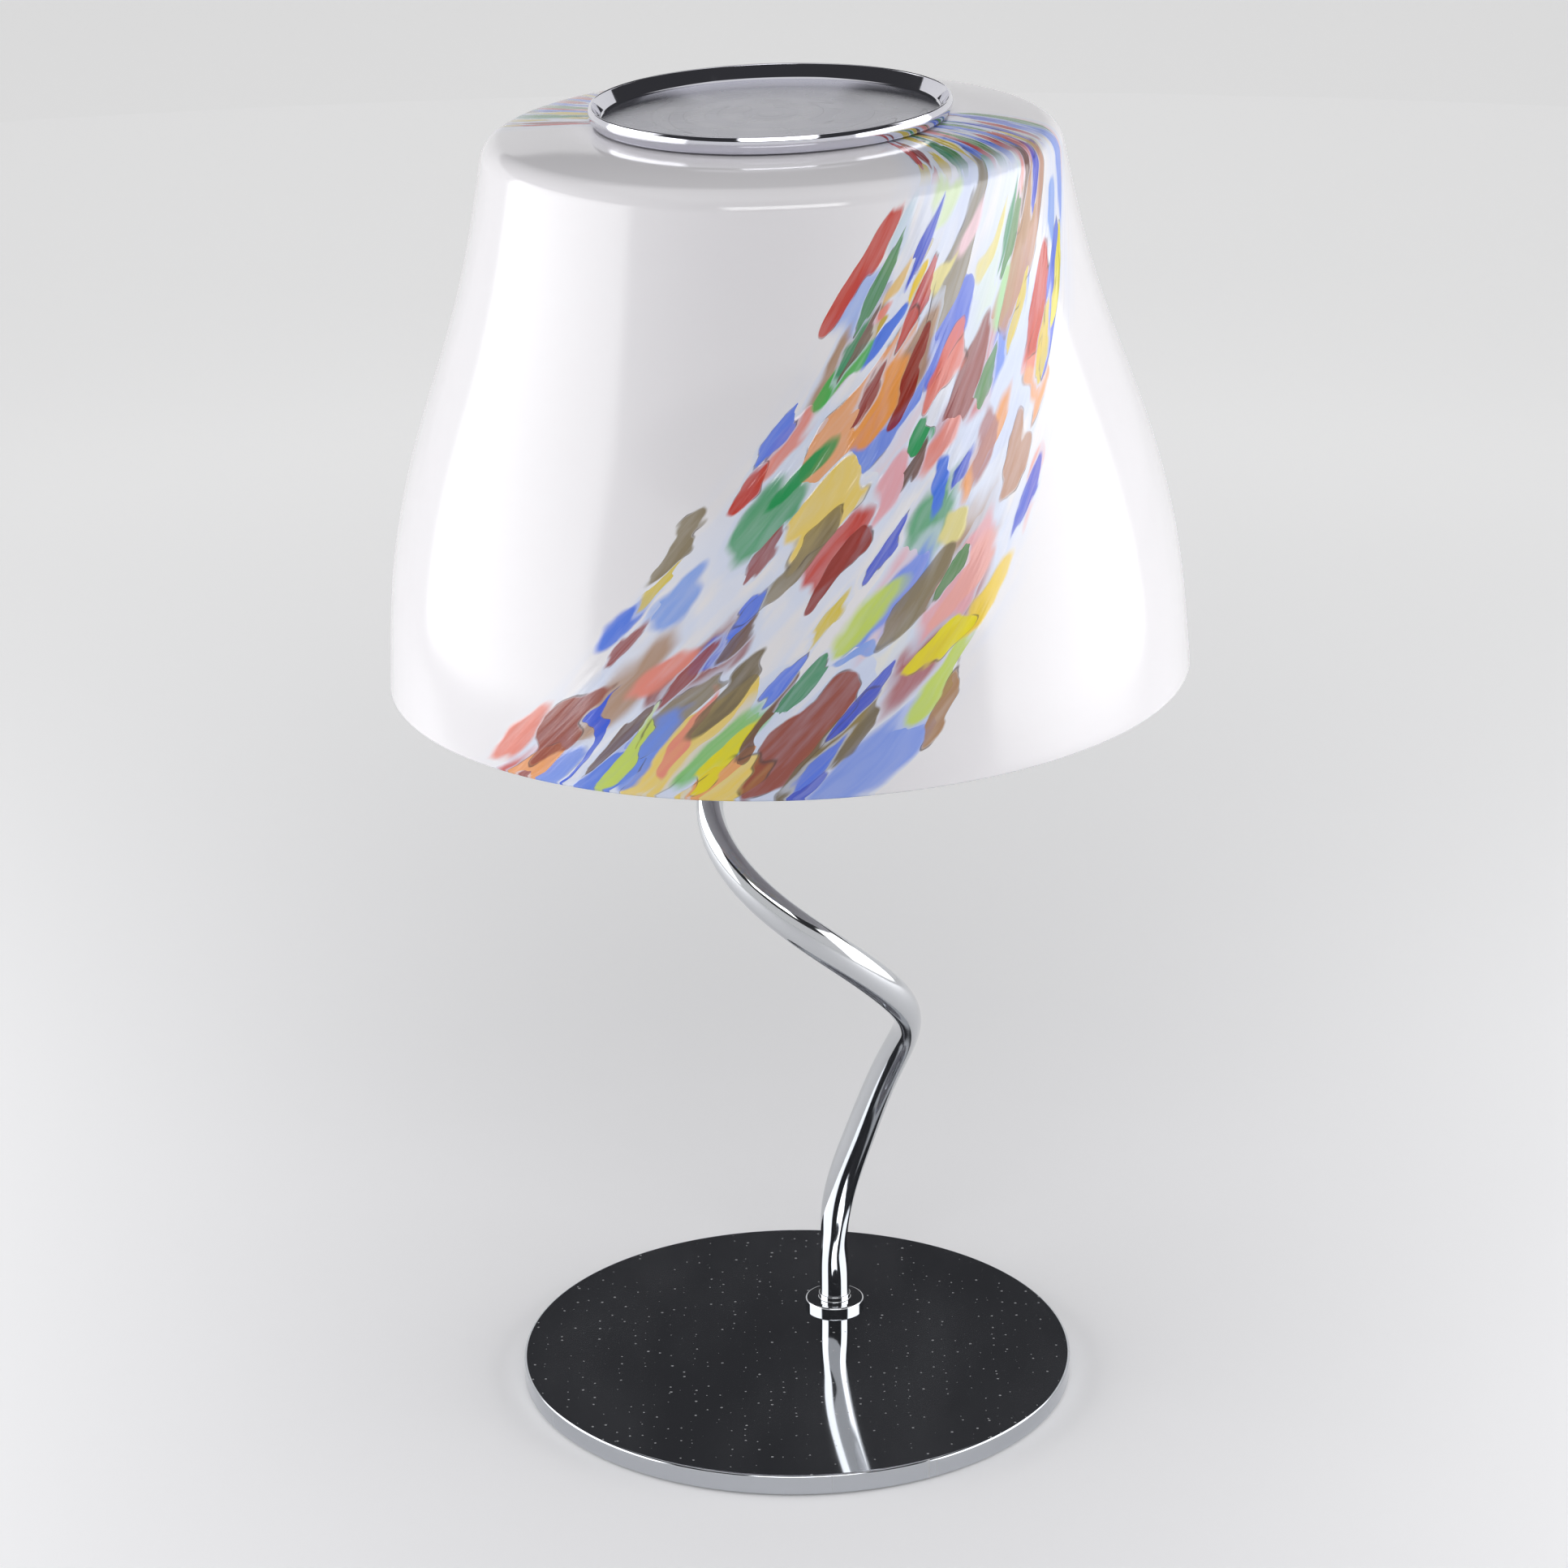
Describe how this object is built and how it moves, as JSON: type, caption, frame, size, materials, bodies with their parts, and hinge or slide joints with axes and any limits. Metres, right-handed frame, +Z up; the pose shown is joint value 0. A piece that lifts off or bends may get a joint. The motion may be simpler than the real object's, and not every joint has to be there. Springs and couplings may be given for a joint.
{
  "type": "table lamp",
  "caption": "Table lamp with a bell-shaped opal glass shade, a shallow dish on top, and one looped tube as its stem on a round mirror-finished foot.",
  "frame": {"origin": "centre of the underside of the foot's pad, on the surface that the lamp stands on", "axes": "+Z up, -Y towards the viewer of the picture, +X to the viewer's right; the head leans 1.38 degrees towards -X"},
  "size_m": [0.3067, 0.3068, 0.5177],
  "materials": {
    "plate_mirror": "polished",
    "pad_felt": "matt",
    "bush_rubber": "matt",
    "plated_steel": "zinc plated",
    "stem_chrome": "polished",
    "rivet_aluminium": "satin",
    "holder_black": "moulded",
    "ceramic_white": "glazed",
    "contact_brass": "satin",
    "bulb_solder": "satin",
    "bulb_base_glass": "gloss",
    "bulb_cap_metal": "satin",
    "bulb_opal": "satin",
    "silicone": "satin",
    "opal_glass": "gloss",
    "felt": "matt",
    "dish_chrome": "polished"
  },
  "bodies": {
    "stand": {"base_plate": "plate_mirror", "base_pad": "pad_felt", "cable_bush": "bush_rubber", "foot_nipple": "plated_steel", "foot_washer": "plated_steel", "foot_nut": "plated_steel", "foot_collar": "stem_chrome", "stem_tube": "stem_chrome", "head_nipple": "plated_steel", "harp_saddle": "plated_steel", "saddle_washer": "plated_steel", "harp_arch": "plated_steel", "harp_rivets": "rivet_aluminium", "lampholder_cap": "holder_black", "lampholder_shell": "holder_black", "lampholder_block": "ceramic_white", "terminal_screws": "contact_brass", "screw_sleeve": "contact_brass", "centre_contact": "contact_brass", "top_stud": "plated_steel", "stud_lower_nut": "plated_steel", "stud_washer": "plated_steel", "stud_upper_nut": "plated_steel", "seat_plate": "plated_steel"},
    "ring": {"seat_ring": "silicone"},
    "shade": {"glass_shade": "opal_glass"},
    "felt": {"felt_ring": "felt"},
    "dish": {"dish": "dish_chrome", "dish_boss": "plated_steel"},
    "bulb_contact": {"bulb_tip": "bulb_solder"},
    "bulb": {"bulb_insulator": "bulb_base_glass", "bulb_cap": "bulb_cap_metal", "bulb_glass": "bulb_opal"}
  },
  "joints": [
    {"name": "shade_turn", "type": "hinge", "parent": "stand", "child": "ring", "pos_m": [-0.0003, 0.0094, 0.296], "axis": [-0.0241, 0, 0.9997], "continuous": true},
    {"name": "shade_lift", "type": "slide", "parent": "ring", "child": "shade", "axis": [-0.0241, 0, 0.9997], "range_m": [0, 0.22]},
    {"name": "dish_rise", "type": "slide", "parent": "shade", "child": "felt", "axis": [-0.0241, 0, 0.9997], "range_m": [0, 0.004]},
    {"name": "dish_turn", "type": "hinge", "parent": "felt", "child": "dish", "pos_m": [-0.0003, 0.0094, 0.296], "axis": [-0.0241, 0, 0.9997], "range_deg": [0, 1440]},
    {"name": "bulb_rise", "type": "slide", "parent": "stand", "child": "bulb_contact", "axis": [-0.0241, 0, 0.9997], "range_m": [0, 0.0182]},
    {"name": "bulb_turn", "type": "hinge", "parent": "bulb_contact", "child": "bulb", "pos_m": [-0.0003, 0.0094, 0.296], "axis": [-0.0241, 0, 0.9997], "range_deg": [0, 1800]}
  ],
  "couplings": [
    {"joint": "dish_rise", "follows": "dish_turn", "m_per_rad": 0.00015915},
    {"joint": "bulb_rise", "follows": "bulb_turn", "m_per_rad": 0.00057773}
  ]
}
